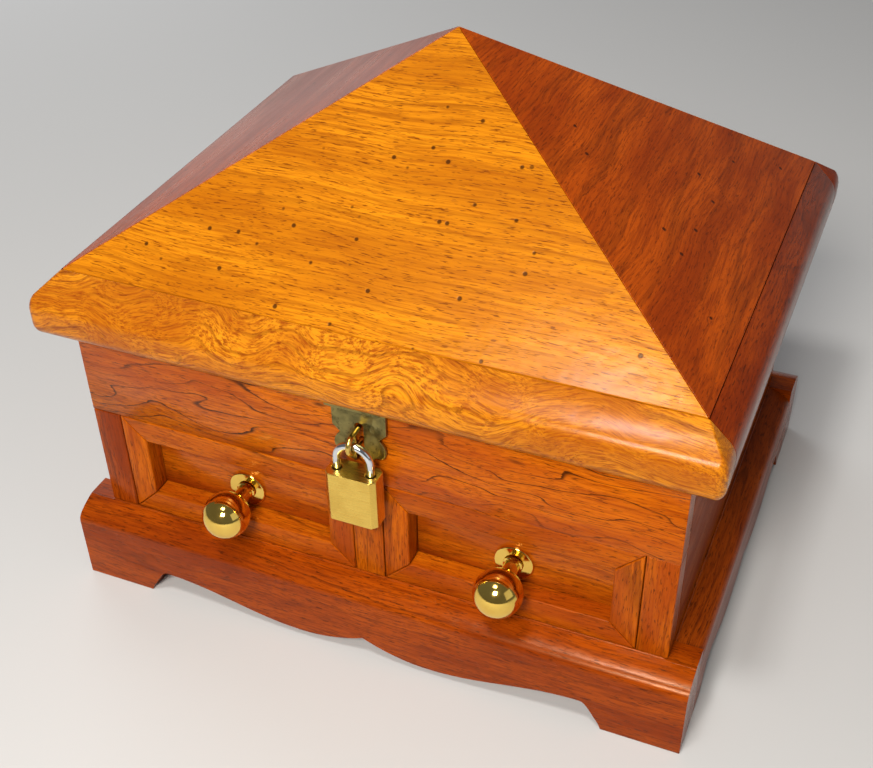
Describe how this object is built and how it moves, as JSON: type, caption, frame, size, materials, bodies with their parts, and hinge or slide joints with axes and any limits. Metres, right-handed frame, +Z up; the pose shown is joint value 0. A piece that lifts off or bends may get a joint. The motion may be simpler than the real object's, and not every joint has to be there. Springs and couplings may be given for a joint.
{
  "type": "wooden keepsake box",
  "caption": "Hardwood box with a scalloped plinth, framed drawers under a lidded compartment, a pyramid roof lid, and a hasp with a small padlock.",
  "frame": {"origin": "centre of the overall bounding box, on the plane the feet stand on", "axes": "+Z up, -Y towards the drawers and padlock, +X to the right seen from the front"},
  "size_m": [0.264, 0.2206, 0.2229],
  "materials": {
    "case_wood": "glossy red-brown varnish over open grain",
    "rim_wood": "glossy red-brown varnish over swirling figure",
    "roof_wood": "glossy golden varnish over fine straight grain",
    "inner_wood": "sanded, unvarnished",
    "knob_brass": "polished",
    "lock_brass": "brushed",
    "old_brass": "dull, tarnished",
    "steel": "plated, bright"
  },
  "bodies": {
    "case": {"plinth_front": "case_wood", "plinth_back": "case_wood", "plinth_left": "case_wood", "plinth_right": "case_wood", "case_back": "case_wood", "case_left": "case_wood", "case_right": "case_wood", "top_rail": "case_wood", "end_stile_left": "case_wood", "end_stile_right": "case_wood", "case_bottom": "inner_wood", "compartment_floor": "inner_wood", "drawer_partition": "case_wood", "drawer_guide_left_inner": "inner_wood", "drawer_guide_left_outer": "inner_wood", "drawer_guide_right_inner": "inner_wood", "drawer_guide_right_outer": "inner_wood", "left_frame_top": "case_wood", "left_frame_bottom": "case_wood", "left_frame_left": "case_wood", "left_frame_right": "case_wood", "right_frame_top": "case_wood", "right_frame_bottom": "case_wood", "right_frame_left": "case_wood", "right_frame_right": "case_wood", "hinge_leaf_lower_left": "old_brass", "hinge_leaf_lower_right": "old_brass", "hinge_pin_left": "old_brass", "hinge_pin_right": "old_brass", "hasp_staple": "lock_brass"},
    "lid": {"rim_front": "rim_wood", "rim_back": "rim_wood", "rim_left": "rim_wood", "rim_right": "rim_wood", "roof_front": "roof_wood", "roof_back": "roof_wood", "roof_left": "roof_wood", "roof_right": "roof_wood", "hinge_leaf_upper_left": "old_brass", "hinge_leaf_upper_right": "old_brass", "hasp_plate": "old_brass"},
    "left_drawer": {"left_drawer_front": "case_wood", "left_drawer_side_left": "inner_wood", "left_drawer_side_right": "inner_wood", "left_drawer_back": "inner_wood", "left_drawer_bottom": "inner_wood", "left_knob_rose": "knob_brass", "left_knob": "knob_brass", "left_knob_screw": "steel"},
    "right_drawer": {"right_drawer_front": "case_wood", "right_drawer_side_left": "inner_wood", "right_drawer_side_right": "inner_wood", "right_drawer_back": "inner_wood", "right_drawer_bottom": "inner_wood", "right_knob_rose": "knob_brass", "right_knob": "knob_brass", "right_knob_screw": "steel"},
    "shackle": {"padlock_shackle": "steel"},
    "lock_body": {"padlock_body": "lock_brass"},
    "lock_plug": {"padlock_plug": "lock_brass"}
  },
  "joints": [
    {"name": "lid_hinge", "type": "hinge", "parent": "case", "child": "lid", "pos_m": [0, 0.10155, 0.1217], "axis": [-1, 0, 0], "range_deg": [0, 90]},
    {"name": "left_drawer_slide", "type": "slide", "parent": "case", "child": "left_drawer", "axis": [0, -1, 0], "range_m": [0, 0.13]},
    {"name": "right_drawer_slide", "type": "slide", "parent": "case", "child": "right_drawer", "axis": [0, -1, 0], "range_m": [0, 0.13]},
    {"name": "padlock_swing", "type": "hinge", "parent": "case", "child": "shackle", "pos_m": [0, -0.09875, 0.1075], "axis": [-1, 0, 0], "range_deg": [0, 80]},
    {"name": "padlock_release", "type": "slide", "parent": "shackle", "child": "lock_body", "axis": [0, 0, -1], "range_m": [0, 0.0065]},
    {"name": "key_plug_turn", "type": "hinge", "parent": "lock_body", "child": "lock_plug", "pos_m": [0, -0.09875, 0.0815], "axis": [0, 0, 1], "range_deg": [0, 90]}
  ]
}
